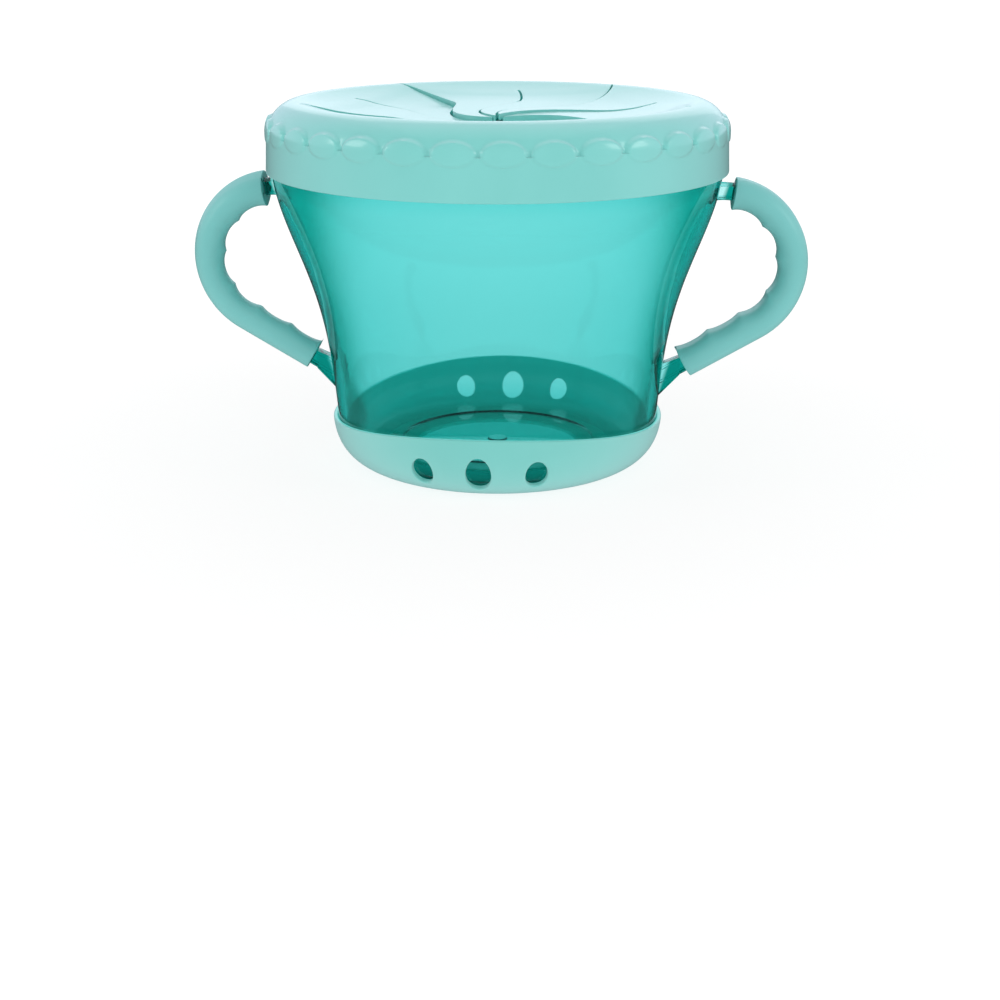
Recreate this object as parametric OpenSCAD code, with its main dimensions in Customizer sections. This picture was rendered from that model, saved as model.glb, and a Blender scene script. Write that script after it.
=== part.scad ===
// Toddler snack container: a two-handled cup whose soft lid has spiral flaps.
// Origin on the table under the middle of the cup, +X towards the right handle, +Z up.

/* [Cup] */
// Height of the cup from the table to its rim
cup_h = 80.6; // [78:0.2:84]
// Outer radius where the boot ends and the bare wall begins
foot_r = 38.9; // [36:0.1:40]
// Outer radius just under the lid
mouth_r = 52.4; // [51:0.1:54]
// Height of the neck, from the widest place up to the rim
neck_h = 10.8; // [10:0.1:12]
// Share of the widening that is a plain taper; the rest is the flare
taper_share = 0.38; // [0.2:0.02:0.8]
// How late the flare comes: higher is nearer the mouth
flare_power = 1.6; // [1.2:0.1:2.2]
// Wall of the cup
cup_wall = 2; // [1.4:0.1:2.8]
// Height of the inside floor above the table
floor_z = 4.05; // [3:0.05:6]
// Radius of the raised ring on the floor
floor_ring_r = 24; // [15:0.5:25]
// Height of the raised ring
floor_ring_h = 0.5; // [0.3:0.1:1]
// Width of the raised ring's crest
floor_ring_w = 0.8; // [0.4:0.1:1.6]
// Radius of the gate mark in the middle of the floor
gate_r = 2.4; // [0.8:0.1:4]
// Height of the gate mark
gate_h = 0.4; // [0.2:0.1:1]

/* [Rim] */
// Step from the widest place in to the neck that the lid covers
neck_step = 0.8; // [0.5:0.1:1.6]
// Wall of the neck
neck_wall = 1.6; // [1.2:0.1:2.2]
// How far the snap bead stands out of the neck
bead_out = 0.35; // [0.2:0.05:0.5]
// Height of the snap bead above the mouth
bead_rise = 6.6; // [5:0.1:8]
// Chamfer on the outer edge of the rim
rim_chamfer = 0.4; // [0.2:0.1:0.8]

/* [Boot] */
// Height at which the boot reaches its full width
boot_h = 13.15; // [11:0.05:15]
// Radius of the ring that the boot stands on
boot_base_r = 28.13; // [24:0.1:32]
// Wall of the boot
boot_wall = 1.1; // [0.8:0.1:1.8]
// How square the boot's lower corner is: 2 is a quarter ellipse
boot_power = 2.43; // [2:0.01:3.5]
// Height of the boot's lip at the front and the back
lip_z = 15.35; // [14:0.05:18]
// How far the lip dips under the handles
lip_dip = 4.3; // [0:0.1:6]
// Radius of the opening in the boot's underside
boot_hole_r = 20; // [10:0.5:24]
// Angle by which the boot is turned on the cup
boot_turn = -2.1; // [-10:0.1:10]
// Width of the middle window
window_w = 5.9; // [3:0.1:8]
// Length of the middle window up the boot's side
window_len = 9.2; // [4:0.1:10]
// Width of the windows beside it
side_window_w = 5.2; // [3:0.1:8]
// Length of the windows beside it
side_window_len = 7.4; // [4:0.1:9]
// Angle between neighbouring windows
window_pitch = 19.5; // [14:0.5:28]
// Height of the windows' middle
window_z = 6.6; // [6:0.1:8]

/* [Handles] */
// Drop from the widest place to the middle of a handle's top bar
bar_drop = 4.7; // [4:0.1:6]
// Radius of the handle's bend
bend_r = 16.9; // [15:0.1:18]
// How far outside the widest place the bend's middle lies
bend_out = 0.4; // [0:0.1:1]
// Slope of the handle's lower run
lower_slope = 30.5; // [26:0.5:36]
// Radius of the moulded bar inside a grip
bar_r = 2.1; // [1.8:0.1:2.4]
// Thickness of the web between the bar's two flanges
web_t = 1.6; // [1:0.1:2]
// Width of the groove between the flanges
flange_gap = 2.5; // [1.6:0.1:3]
// How far the handle's foot spreads above the bar, at the wall
foot_above = 3.3; // [2:0.1:5]
// How far it spreads below the bar
foot_below = 5.3; // [3:0.1:7]
// Thickness of the handle's foot
foot_t = 3; // [2:0.1:4]
// Bare length of the bar between its foot and a grip
foot_gap = 1; // [0.5:0.1:3]

/* [Grips] */
// Half thickness of a grip, in the plane of the handle
grip_r = 3.7; // [3.2:0.1:4.2]
// How far a grip's middle lies on the fingers' side of its bar
grip_in = 0.4; // [0:0.1:0.6]
// How much wider than thick a grip is
grip_swell = 2.4; // [0:0.1:3]
// Clearance between a grip and its bar
grip_clear = 0.02; // [0.01:0.01:0.1]
// Angle by which the left grip is turned on its bar towards the front
left_turn = 18; // [0:1:30]
// Angle on the bend where a grip starts, from the level of the bend's middle
grip_start = 82; // [60:1:86]
// How far a grip's lower end stays outside the cup's foot
grip_end = 6.1; // [5:0.1:9]
// Finger scallops along the inner side
fingers = 7; // [4:1:9]
// Radius of a finger scallop
finger_r = 7; // [6:0.5:12]
// Depth of a finger scallop
finger_depth = 0.9; // [0.4:0.1:1.1]

/* [Lid] */
// Wall of the skirt at the lid's lower edge
skirt_t = 1.5; // [1.3:0.1:2]
// Draft of the skirt: how much its top is drawn in
skirt_draft = 0.4; // [0:0.1:0.6]
// Gap under the lid's lower edge
skirt_gap = 0.55; // [0.3:0.05:1]
// Drop from the cup's rim to the crease where the pillows begin
crease_drop = 1.55; // [1.2:0.05:2]
// Depth of the crease under the pillows
crease_in = 0.4; // [0.2:0.1:0.6]
// Radius of the lid's shoulder
shoulder_r = 7; // [6:0.1:7.5]
// Wall of the lid over its top
lid_t = 1.6; // [1.2:0.1:2]
// Clearance between the lid's skirt and the neck
lid_clear = 0.6; // [0.4:0.1:0.8]
// Slope angle of the top where the shoulder hands over to the dish
dish_slope = 14.6; // [8:0.2:18]
// Radius of the level middle of the dish
dish_flat_r = 26; // [18:1:30]
// Depth of the sealing lip that hangs inside the neck
seal_h = 3.6; // [2:0.1:5]
// Thickness of the sealing lip
seal_t = 1; // [0.8:0.1:1.4]
// Clearance between the sealing lip and the neck
seal_clear = 0.3; // [0.2:0.05:0.5]
// Drop from the snap bead to the groove that snaps over it
snap_drop = 2.6; // [2:0.1:3.4]
// Clearance between the snap bead and the bottom of its groove
snap_clear = 0.1; // [0.05:0.05:0.3]

/* [Pillows] */
// Pillows round the lid's shoulder
pillows = 32; // [24:1:36]
// How far a pillow stands out of the shoulder
pillow_out = 0.9; // [0.4:0.1:1.2]
// Half height of a pillow
pillow_r = 2.9; // [2.2:0.1:3.4]
// Height of a pillow's middle above the crease
pillow_rise = 0.75; // [0.3:0.05:1.2]

/* [Spiral flaps] */
// Flaps in the lid, an even number: slits alternate between long and short
flaps = 10; // [8:2:12]
// Thickness of a flap
flap_t = 1.4; // [1:0.1:1.8]
// How far inside the lid's lower edge a long slit ends
slit_margin = 7.7; // [7:0.1:10]
// How much sooner a short slit ends
slit_step = 8; // [5:0.5:10]
// Width of a slit
slit_w = 0.6; // [0.4:0.05:0.9]
// Angle to the first long slit's outer end
slit_from = 55.3; // [0:0.1:90]
// Angle of a slit's swirl around the middle of the lid
slit_swirl = 53; // [20:1:60]
// Angle by which a slit's outer run leans against the swirl
slit_lean = 9; // [0:1:14]
// Radius where a slit turns from its lean into the swirl
slit_turn_r = 27; // [22:1:32]
// Radius of the opening where the flaps' tips meet
tip_hole_r = 1.6; // [1:0.1:4]
// Radius of the round relief at a slit's outer end
relief_r = 0.55; // [0.4:0.05:1]
// Angle of the undercut at a flap's root, which lets it swing down
root_undercut = 52; // [51:1:60]
// Angle of the relief above a flap's hinge line, which lets it swing up
root_relief = 42; // [41:1:50]
// Gap between a flap's hinge line and the edge of the lid's opening
root_gap = 0.05; // [0.02:0.01:0.15]
// Angle by which each flap hangs below the dish as it is stored
flap_droop = [2, 2.5, 5, 4.5, 4.5, 6, 17, 14, 2.5, 1.5]; // [0:0.5:20]

/* [Hidden] */

$fn = 96;
eps = 0.01;
past = 1;
profile_steps = 22;
corner_steps = 10;
slit_steps = 22;
window_step = 12;
fit = 0.05;
bar_round = 0.2;
edge_c = 0.3;
snap_h = 0.4;

cup_green = [0.12, 0.68, 0.62, 0.75];
soft_aqua = [0.60, 0.87, 0.85];
grip_aqua = [0.45, 0.77, 0.73];

// Cup wall: a taper and a cosine flare that comes late
function cup_r(z) = let(u = max(0, (z - boot_h) / (mouth_z - boot_h)))
    foot_r + (mouth_r - foot_r)
    * (taper_share * u + (1 - taper_share) * (1 - cos(180 * pow(u, flare_power))) / 2);
// Lower corner shared by the boot and the cup in it: a squared quarter ellipse
function corner(r0, r1, z0, z1) = [for (i = [0:corner_steps]) let(a = 90 * i / corner_steps)
    [r0 + (r1 - r0) * pow(sin(a), 2 / boot_power), z1 - (z1 - z0) * pow(cos(a), 2 / boot_power)]];
// Radius of the boot's outside at a height, and how far it leans from the vertical there
function corner_r(z) = boot_base_r + (boot_r - boot_base_r)
    * pow(1 - pow(1 - z / boot_h, boot_power), 1 / boot_power);
function corner_lean(z) = atan((corner_r(z + eps) - corner_r(z - eps)) / (2 * eps));

mouth_z = cup_h - neck_h;
neck_r = mouth_r - neck_step;
neck_in_r = neck_r - neck_wall;
bead_z = mouth_z + bead_rise;
floor_r = boot_base_r - cup_wall + boot_wall / 2;
boot_r = foot_r + fit + boot_wall;

// Handle centre line: a bend out of the wall and a straight run back to it
bend_z = mouth_z - bar_drop - bend_r;
bend_x = mouth_r + bend_out;
lower_turn = 90 - lower_slope;
run_x = bend_x + bend_r * cos(lower_turn);
run_z = bend_z - bend_r * sin(lower_turn);
wall_x = foot_r - cup_wall / 2;
grip_end_x = foot_r + grip_end;
run_len = (run_x - wall_x) / cos(lower_slope);
grip_run = (run_x - grip_end_x) / cos(lower_slope);

// Lid surface: shoulder arc outside, dish that levels out inside
lid_in_r = neck_r + lid_clear;
skirt_r = lid_in_r + skirt_t;
skirt_z = mouth_z + skirt_gap;
crease_z = cup_h - crease_drop;
skirt_top_r = skirt_r - skirt_draft;
shoulder_x = skirt_top_r - crease_in - shoulder_r;
shoulder_z = crease_z - crease_in;
join_r = shoulder_x - shoulder_r * sin(dish_slope);
join_z = shoulder_z + shoulder_r * cos(dish_slope);
dish_rise = tan(dish_slope) * (join_r - dish_flat_r) / 2;
dish_z = join_z - dish_rise;
long_slit_r = skirt_r - slit_margin;
short_slit_r = long_slit_r - slit_step;
lid_high = shoulder_z + shoulder_r - skirt_z + 2 * past;
function arc_z(r, big_r) = shoulder_z + sqrt(max(0, pow(big_r, 2) - pow(r - shoulder_x, 2)));
function top_z(r) = r > join_r ? arc_z(r, shoulder_r)
    : dish_z + dish_rise * pow(max(0, (r - dish_flat_r) / (join_r - dish_flat_r)), 2);

// Slits: each leans out near the rim and swirls round the middle
function slit_bend(r) = r < slit_turn_r
    ? slit_swirl * (1 + cos(180 * r / slit_turn_r)) / 2 - slit_lean
    : slit_lean * (pow((r - slit_turn_r) / (long_slit_r - slit_turn_r), 1.5) - 1);
function slit_end(k) = k % 2 == 0 ? long_slit_r : short_slit_r;
function slit_angle(k, r) = slit_from + 360 * k / flaps + slit_bend(r);
function polar(r, a) = [r * cos(a), r * sin(a)];
function slit_tip(k) = polar(slit_end(k), slit_angle(k, slit_end(k)));
function slit_side(k, side) = [for (i = [0:slit_steps - 1])
    let(r = tip_hole_r + (slit_end(k) - tip_hole_r) * i / slit_steps)
    polar(r, slit_angle(k, r) + side * asin(slit_w / 2 / r))];
function root_end(from, to) = from + (to - from) * slit_w / 2 / norm(to - from);
function reversed(list) = [for (i = [len(list) - 1:-1:0]) list[i]];

module cup_wall_solid() {
    rotate_extrude() polygon(concat(
        [[0, boot_wall]],
        corner(boot_base_r, foot_r, boot_wall, boot_h),
        [for (i = [1:profile_steps]) let(z = boot_h + (mouth_z - boot_h) * i / profile_steps)
            [cup_r(z), z]],
        [[neck_r, mouth_z],
            [neck_r, bead_z - bead_out * 2], [neck_r + bead_out, bead_z - bead_out / 2],
            [neck_r + bead_out, bead_z + bead_out / 2], [neck_r, bead_z + bead_out * 3],
            [neck_r, cup_h - rim_chamfer], [neck_r - rim_chamfer, cup_h], [0, cup_h]]));
}

module cup_hollow() {
    difference() {
        rotate_extrude() polygon(concat(
            [[0, floor_z]],
            corner(floor_r, foot_r - cup_wall, floor_z, boot_h),
            [for (i = [1:profile_steps]) let(z = boot_h + (mouth_z - boot_h) * i / profile_steps)
                [min(cup_r(z) - cup_wall, neck_in_r), z]],
            [[neck_in_r, cup_h + past], [0, cup_h + past]]));
        rotate_extrude() translate([floor_ring_r, floor_z]) polygon([
            [-floor_ring_w, -past], [floor_ring_w, -past], [floor_ring_w, 0],
            [floor_ring_w / 2, floor_ring_h], [-floor_ring_w / 2, floor_ring_h], [-floor_ring_w, 0]]);
        translate([0, 0, floor_z - past]) cylinder(r = gate_r, h = past + gate_h);
    }
}

// Section of the bar: two flanges joined by a web
module bar_section() {
    difference() {
        circle(r = bar_r);
        for (s = [-1, 1]) translate([-flange_gap / 2, s > 0 ? web_t / 2 : -web_t / 2 - bar_r])
            square([flange_gap, bar_r]);
    }
}

// Section of a grip: a flattened round, wider across the hand, bored for the bar
module grip_section(turn) {
    difference() {
        rotate(turn) translate([-grip_in, 0]) {
            for (s = [-1, 1]) translate([0, s * grip_swell / 2]) circle(r = grip_r);
            translate([-grip_r, -grip_swell / 2]) square([2 * grip_r, grip_swell]);
        }
        circle(r = bar_r + grip_clear);
    }
}

// Sweeps a section along the handle; its -x side faces the fingers
module along_handle(start, run) {
    translate([bend_x, 0, bend_z]) rotate([90, 0, 0]) rotate([0, 0, -lower_turn]) {
        rotate_extrude(angle = lower_turn + start) translate([bend_r, 0]) children();
        translate([bend_r, 0, 0]) rotate([90, 0, 0]) linear_extrude(run) children();
    }
}

// Flat foot that widens from the lower run into the wall
module handle_foot() {
    rise = tan(lower_slope);
    out_x = grip_end_x - foot_gap;
    half = (bar_r - bar_round) / cos(lower_slope);
    mid_z = run_z - (run_x - out_x) * rise;
    wall_mid_z = run_z - (run_x - wall_x) * rise;
    rotate([90, 0, 0]) linear_extrude(foot_t, center = true)
        polygon([[out_x, mid_z + half], [out_x, mid_z - half],
            [wall_x, wall_mid_z - foot_below], [wall_x, wall_mid_z + foot_above]]);
}

module handle_bar() {
    along_handle(90 + asin(cup_wall / bend_r), run_len) bar_section();
    handle_foot();
}

// Scallops at an even pitch down the inner side of a grip turned on its bar
module finger_cutters(turn) {
    inner_r = bend_r - grip_in - grip_r;
    arc = inner_r * (grip_start + lower_turn) * PI / 180;
    pitch = (arc + grip_run) / fingers;
    reach = grip_in + grip_r + finger_r - finger_depth;
    translate([bend_x, 0, bend_z]) rotate([90, 0, 0]) for (i = [0:fingers - 1]) {
        s = (i + 0.5) * pitch;
        around = s < arc ? grip_start - s / inner_r * 180 / PI : -lower_turn;
        rotate([0, 0, around]) translate([bend_r, min(0, arc - s), 0]) rotate([0, -turn, 0])
            translate([-reach, 0, 0]) cylinder(r = finger_r, h = 4 * grip_r, center = true);
    }
}

module grip(turn) {
    difference() {
        along_handle(grip_start, grip_run) grip_section(turn);
        finger_cutters(turn);
    }
}

module cup() {
    color(cup_green) difference() {
        union() {
            cup_wall_solid();
            handle_bar();
            mirror([1, 0, 0]) handle_bar();
        }
        cup_hollow();
    }
}

module right_grip() {
    color(grip_aqua) grip(0);
}

module left_grip() {
    color(grip_aqua) mirror([1, 0, 0]) grip(-left_turn);
}

// One oval window through the boot, square to its rounded side
module window(w, len) {
    depth = 4 * boot_wall;
    translate([corner_r(window_z), 0, window_z]) rotate([0, corner_lean(window_z), 0])
        translate([-depth, 0, 0]) rotate([0, 90, 0]) linear_extrude(2 * depth)
        polygon([for (a = [0:window_step:359]) [len / 2 * cos(a), w / 2 * sin(a)]]);
}

module base_boot() {
    lip_arc_r = (pow(boot_r, 2) + pow(lip_dip, 2)) / (2 * lip_dip);
    color(soft_aqua) rotate([0, 0, boot_turn]) difference() {
        intersection() {
            rotate_extrude() polygon(concat(
                corner(boot_base_r, boot_r, 0, boot_h),
                [[boot_r, lip_z + past], [cup_r(lip_z + past) + fit, lip_z + past]],
                reversed(corner(boot_base_r + fit, foot_r + fit, boot_wall, boot_h)),
                [[boot_hole_r, boot_wall], [boot_hole_r, 0]]));
            translate([0, 0, lip_z - lip_arc_r]) rotate([90, 0, 0])
                cylinder(r = lip_arc_r, h = 4 * boot_r, center = true, $fn = 360);
        }
        for (side = [-90, 90]) rotate([0, 0, side]) {
            window(window_w, window_len);
            for (s = [-1, 1]) rotate([0, 0, s * window_pitch])
                window(side_window_w, side_window_len);
        }
    }
}

// Half section of the lid with its hollow filled
module lid_outside() {
    polygon(concat(
        [[0, skirt_z], [skirt_r - edge_c, skirt_z], [skirt_r, skirt_z + edge_c],
            [skirt_top_r, crease_z]],
        [for (i = [0:corner_steps]) let(a = asin(crease_in / shoulder_r)
            + (90 + dish_slope - asin(crease_in / shoulder_r)) * i / corner_steps)
            [shoulder_x + shoulder_r * cos(a), shoulder_z + shoulder_r * sin(a)]],
        dish_points(join_r, 0),
        [[0, dish_z]]));
}

// Points down the dish from its edge to its level middle
function dish_points(from_r, drop) = [for (i = [1:8]) let(r = from_r + (dish_flat_r - from_r) * i / 8)
    [r, top_z(r) - drop]];

module lid_hollow() {
    seal_out_r = neck_in_r - seal_clear;
    seal_in_r = seal_out_r - seal_t;
    snap_r = neck_r + bead_out + snap_clear;
    snap_z = bead_z - snap_drop;
    polygon(concat(
        [[0, skirt_z - past], [lid_in_r, skirt_z - past], [lid_in_r, snap_z - 3 * snap_h],
            [snap_r, snap_z - snap_h], [snap_r, snap_z + snap_h], [lid_in_r, snap_z + 3 * snap_h],
            [lid_in_r, cup_h], [seal_out_r, cup_h], [seal_out_r, cup_h - seal_h],
            [seal_in_r, cup_h - seal_h]],
        [for (i = [0:6]) let(r = seal_in_r + (join_r - seal_in_r) * i / 6)
            [r, arc_z(r, shoulder_r - lid_t)]],
        dish_points(join_r, lid_t),
        [[0, dish_z - lid_t]]));
}

module pillow() {
    belly_r = shoulder_x + sqrt(pow(shoulder_r, 2) - pow(crease_in + pillow_rise, 2));
    half_w = belly_r * sin(180 / pillows);
    sag = half_w * half_w / (2 * belly_r) + pillow_out;
    arc_r = (half_w * half_w + sag * sag) / (2 * sag);
    half_a = asin(half_w / arc_r);
    translate([belly_r + pillow_out - arc_r, 0, crease_z + pillow_rise]) rotate([0, 0, -half_a])
        rotate_extrude(angle = 2 * half_a) translate([arc_r - pillow_r, 0]) circle(r = pillow_r);
}

module lid() {
    color(soft_aqua) difference() {
        union() {
            rotate_extrude() lid_outside();
            for (k = [0:pillows - 1]) rotate([0, 0, 360 * (k + 0.5) / pillows]) pillow();
        }
        rotate_extrude() lid_hollow();
        translate([0, 0, skirt_z]) linear_extrude(lid_high)
            polygon([for (k = [0:flaps - 1]) slit_tip(k)]);
        for (k = [0:flaps - 1]) translate(concat(slit_tip(k), [skirt_z]))
            cylinder(r = relief_r, h = lid_high);
    }
}

// Half section of the dish that the flaps are cut from
module flap_sheet() {
    far_r = long_slit_r + past;
    outer = [for (i = [0:4]) far_r + (join_r - far_r) * i / 4];
    polygon(concat(
        [for (r = outer) [r, top_z(r)]], dish_points(join_r, 0), [[0, dish_z], [0, dish_z - flap_t]],
        reversed(dish_points(join_r, flap_t)), [for (r = reversed(outer)) [r, top_z(r) - flap_t]]));
}

// Section of what is cut away at a flap's root, with the hinge line at its middle
module root_cut() {
    polygon([[root_gap, 0], [root_gap + lid_high * tan(root_undercut), -lid_high],
        [-lid_high, -lid_high], [-lid_high, lid_high],
        [root_gap + lid_high * tan(root_relief), lid_high]]);
}

// One flap between slit k and the next, hung by a level hinge line between the slits' ends
module flap(k) {
    a = slit_tip(k);
    b = slit_tip(k + 1);
    root = b - a;
    hinge = concat(a, [(top_z(slit_end(k)) + top_z(slit_end(k + 1))) / 2]);
    translate(hinge) rotate(a = -flap_droop[k % len(flap_droop)], v = concat(root, [0]))
        translate(-hinge)
        difference() {
            intersection() {
                rotate_extrude() flap_sheet();
                translate([0, 0, skirt_z]) linear_extrude(lid_high)
                    polygon(concat(slit_side(k, 1), [root_end(a, b), root_end(b, a)],
                        reversed(slit_side(k + 1, -1))));
            }
            translate(hinge) rotate([0, 0, atan2(root[1], root[0])]) translate([-lid_high, 0, 0])
                rotate([90, 0, 90]) linear_extrude(skirt_r + 2 * lid_high) root_cut();
        }
}

module flap_1() { color(soft_aqua) flap(0); }
module flap_2() { color(soft_aqua) flap(1); }
module flap_3() { color(soft_aqua) flap(2); }
module flap_4() { color(soft_aqua) flap(3); }
module flap_5() { color(soft_aqua) flap(4); }
module flap_6() { color(soft_aqua) flap(5); }
module flap_7() { color(soft_aqua) flap(6); }
module flap_8() { color(soft_aqua) flap(7); }
module flap_9() { color(soft_aqua) flap(8); }
module flap_10() { color(soft_aqua) flap(9); }

cup();
left_grip();
right_grip();
base_boot();
lid();
flap_1();
flap_2();
flap_3();
flap_4();
flap_5();
flap_6();
flap_7();
flap_8();
flap_9();
flap_10();
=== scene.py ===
"""Looks of the toddler snack container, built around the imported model.

Every moulding is a class with its sizes in metres. The clear cup, the soft grips, the boot, the lid's
ring and the ten spiral flaps are modelled at the places that the frame gives, and dressed in finishes
made of shader nodes. A studio with a pale floor and soft lamps stands round them.
"""

import logging
import math
from collections.abc import Callable, Iterable, Sequence
from dataclasses import dataclass
from enum import Enum

import bmesh
import bpy
from mathutils import Matrix, Vector


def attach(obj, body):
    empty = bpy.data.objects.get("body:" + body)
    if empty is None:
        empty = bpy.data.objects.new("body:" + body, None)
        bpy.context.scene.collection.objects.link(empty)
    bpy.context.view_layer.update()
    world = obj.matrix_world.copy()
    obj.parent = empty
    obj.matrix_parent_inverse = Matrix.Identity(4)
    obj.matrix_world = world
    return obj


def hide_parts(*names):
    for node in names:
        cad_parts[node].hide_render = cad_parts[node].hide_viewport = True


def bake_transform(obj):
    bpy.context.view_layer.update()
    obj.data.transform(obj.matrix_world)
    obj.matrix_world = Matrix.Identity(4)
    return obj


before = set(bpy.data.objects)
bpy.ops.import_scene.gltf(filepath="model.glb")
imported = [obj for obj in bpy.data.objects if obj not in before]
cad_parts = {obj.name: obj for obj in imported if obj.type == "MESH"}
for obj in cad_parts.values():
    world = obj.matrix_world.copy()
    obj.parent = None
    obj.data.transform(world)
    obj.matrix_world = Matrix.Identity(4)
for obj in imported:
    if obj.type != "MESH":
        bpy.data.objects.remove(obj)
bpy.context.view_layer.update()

log = logging.getLogger("snack_container")

Z_AXIS = Vector((0, 0, 1))
Y_AXIS = Vector((0, 1, 0))
MERGE = 2e-6
SMOOTH_ANGLE = math.radians(38)
SHARP_ANGLE = math.radians(50)
SEED_SIZE = 1e-4
WHITE = (1.0, 1.0, 1.0, 1.0)
BLACK = (0.0, 0.0, 0.0, 1.0)

Pair = tuple[float, float]            # a point of a section, or a range
Triple = tuple[float, float, float]   # a place, or a colour
Feeds = dict[str | int, object]       # values or sockets by a node input's name or number


class Side(Enum):
    """The two handles' sides; the value is the sign of X."""

    LEFT = -1
    RIGHT = 1


def smoothstep(value: float, low: float, high: float) -> float:
    """Eased share of the way from low to high.

    Args:
        value: where to look.
        low: where the share is 0.
        high: where the share is 1.

    Returns:
        A share from 0 to 1.
    """
    t = min(1.0, max(0.0, (value - low) / (high - low)))
    return t * t * (3 - 2 * t)


def arc_points(centre: Pair, radius: float, start: float, end: float, count: int) -> list[Pair]:
    """Points along an arc in a half section.

    Args:
        centre: the arc's middle as (r, z).
        radius: its radius.
        start: angle in degrees where it begins.
        end: angle in degrees where it ends.
        count: number of steps.

    Returns:
        The points, both ends included.
    """
    angles = [math.radians(start + (end - start) * i / count) for i in range(count + 1)]
    return [(centre[0] + radius * math.cos(a), centre[1] + radius * math.sin(a)) for a in angles]


def line_points(start: Pair, end: Pair, count: int) -> list[Pair]:
    """Evenly spaced points on a straight stretch of a half section.

    Args:
        start: first point as (r, z).
        end: last point, left out of the result.
        count: number of steps.

    Returns:
        The points without the last.
    """
    return [(start[0] + (end[0] - start[0]) * i / count, start[1] + (end[1] - start[1]) * i / count)
            for i in range(count)]


def deselect_all() -> None:
    """Leaves edit mode and deselects every object."""
    if bpy.context.object and bpy.context.object.mode != "OBJECT":
        bpy.ops.object.mode_set(mode="OBJECT")
    bpy.ops.object.select_all(action="DESELECT")


def make_active(obj: bpy.types.Object) -> None:
    """Selects one object alone and makes it the active one."""
    deselect_all()
    obj.select_set(True)
    bpy.context.view_layer.objects.active = obj


def edit(obj: bpy.types.Object, mode: str = "VERT") -> None:
    """Opens an object in edit mode with nothing selected, in vertex, edge or face mode."""
    make_active(obj)
    bpy.ops.object.mode_set(mode="EDIT")
    bpy.ops.mesh.select_mode(type=mode)
    bpy.ops.mesh.select_all(action="DESELECT")


def settle(obj: bpy.types.Object) -> None:
    """Applies an object's place, turn and scale, so that they are in its mesh."""
    make_active(obj)
    bpy.ops.object.transform_apply(location=True, rotation=True, scale=True)


def object_mode() -> None:
    """Leaves edit mode."""
    bpy.ops.object.mode_set(mode="OBJECT")


def extrude(step: Sequence[float]) -> None:
    """Extrudes what is selected by a step."""
    bpy.ops.mesh.extrude_region_move(TRANSFORM_OT_translate={"value": step})


def draw_line(name: str, points: Sequence[Vector], closed: bool = False) -> bpy.types.Object:
    """Draws a line of vertices by extruding one vertex from point to point.

    Args:
        name: the new object's name.
        points: the points in order.
        closed: whether the last point is joined to the first.

    Returns:
        The mesh object, in object mode.
    """
    deselect_all()
    bpy.ops.mesh.primitive_plane_add(size=SEED_SIZE, location=points[0])
    obj = bpy.context.object
    obj.name = obj.data.name = name
    settle(obj)
    bpy.ops.object.mode_set(mode="EDIT")
    bpy.ops.mesh.select_mode(type="VERT")
    bpy.ops.mesh.select_all(action="SELECT")
    bpy.ops.mesh.merge(type="CENTER")
    for here, there in zip(points, points[1:]):
        extrude(there - here)
    if closed:
        object_mode()
        for vertex in obj.data.vertices:
            vertex.select = vertex.index in (0, len(obj.data.vertices) - 1)
        bpy.ops.object.mode_set(mode="EDIT")
        bpy.ops.mesh.edge_face_add()
    object_mode()
    return obj


def spin(obj: bpy.types.Object, steps: int, degrees: float, centre: Vector, axis: Vector) -> None:
    """Sweeps a whole line or loop round an axis; its last copy stays selected.

    Args:
        obj: the drawn line.
        steps: number of copies.
        degrees: the whole turn.
        centre: a point on the axis.
        axis: the axis' direction.
    """
    edit(obj)
    bpy.ops.mesh.select_all(action="SELECT")
    bpy.ops.mesh.spin(steps=steps, angle=math.radians(degrees), center=centre, axis=axis)


def close_up(obj: bpy.types.Object) -> None:
    """Merges doubled vertices and turns all faces outwards."""
    edit(obj)
    bpy.ops.mesh.select_all(action="SELECT")
    bpy.ops.mesh.remove_doubles(threshold=MERGE)
    bpy.ops.mesh.normals_make_consistent(inside=False)
    object_mode()


def lathe(name: str, section: Sequence[Pair], steps: int, start: float = 0,
          closed: bool = False) -> bpy.types.Object:
    """Turns a half section once round the vertical axis.

    Args:
        name: the new object's name.
        section: points as (r, z).
        steps: number of steps round.
        start: angle in degrees of the drawn section.
        closed: whether the section is a loop that stays clear of the axis.

    Returns:
        The closed, turned mesh.
    """
    a = math.radians(start)
    points = [Vector((r * math.cos(a), r * math.sin(a), z)) for r, z in section]
    obj = draw_line(name, points, closed)
    spin(obj, steps, 360, Vector(), Z_AXIS)
    close_up(obj)
    return obj


def move_vertices(obj: bpy.types.Object, rule: Callable[[Vector], Vector]) -> None:
    """Moves every vertex to the place that a rule gives for it."""
    for vertex in obj.data.vertices:
        vertex.co = rule(vertex.co.copy())
    obj.data.update()


def apply_modifier(obj: bpy.types.Object, kind: str, **settings: object) -> None:
    """Adds a modifier with the given settings and applies it.

    Args:
        obj: the object to change.
        kind: the modifier's type.
        **settings: its properties by name.
    """
    make_active(obj)
    modifier = obj.modifiers.new(kind.title(), kind)
    for key, value in settings.items():
        setattr(modifier, key, value)
    bpy.ops.object.modifier_apply(modifier=modifier.name)


def select_edges(obj: bpy.types.Object, keep: Callable[[bmesh.types.BMEdge], bool]) -> int:
    """Opens an object in edge mode and selects the edges that a test keeps.

    Args:
        obj: the object to open.
        keep: the test for one edge.

    Returns:
        The number of selected edges.
    """
    edit(obj, "EDGE")
    mesh = bmesh.from_edit_mesh(obj.data)
    chosen = [e for e in mesh.edges if keep(e)]
    for edge in chosen:
        edge.select_set(True)
    bmesh.update_edit_mesh(obj.data)
    return len(chosen)


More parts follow.
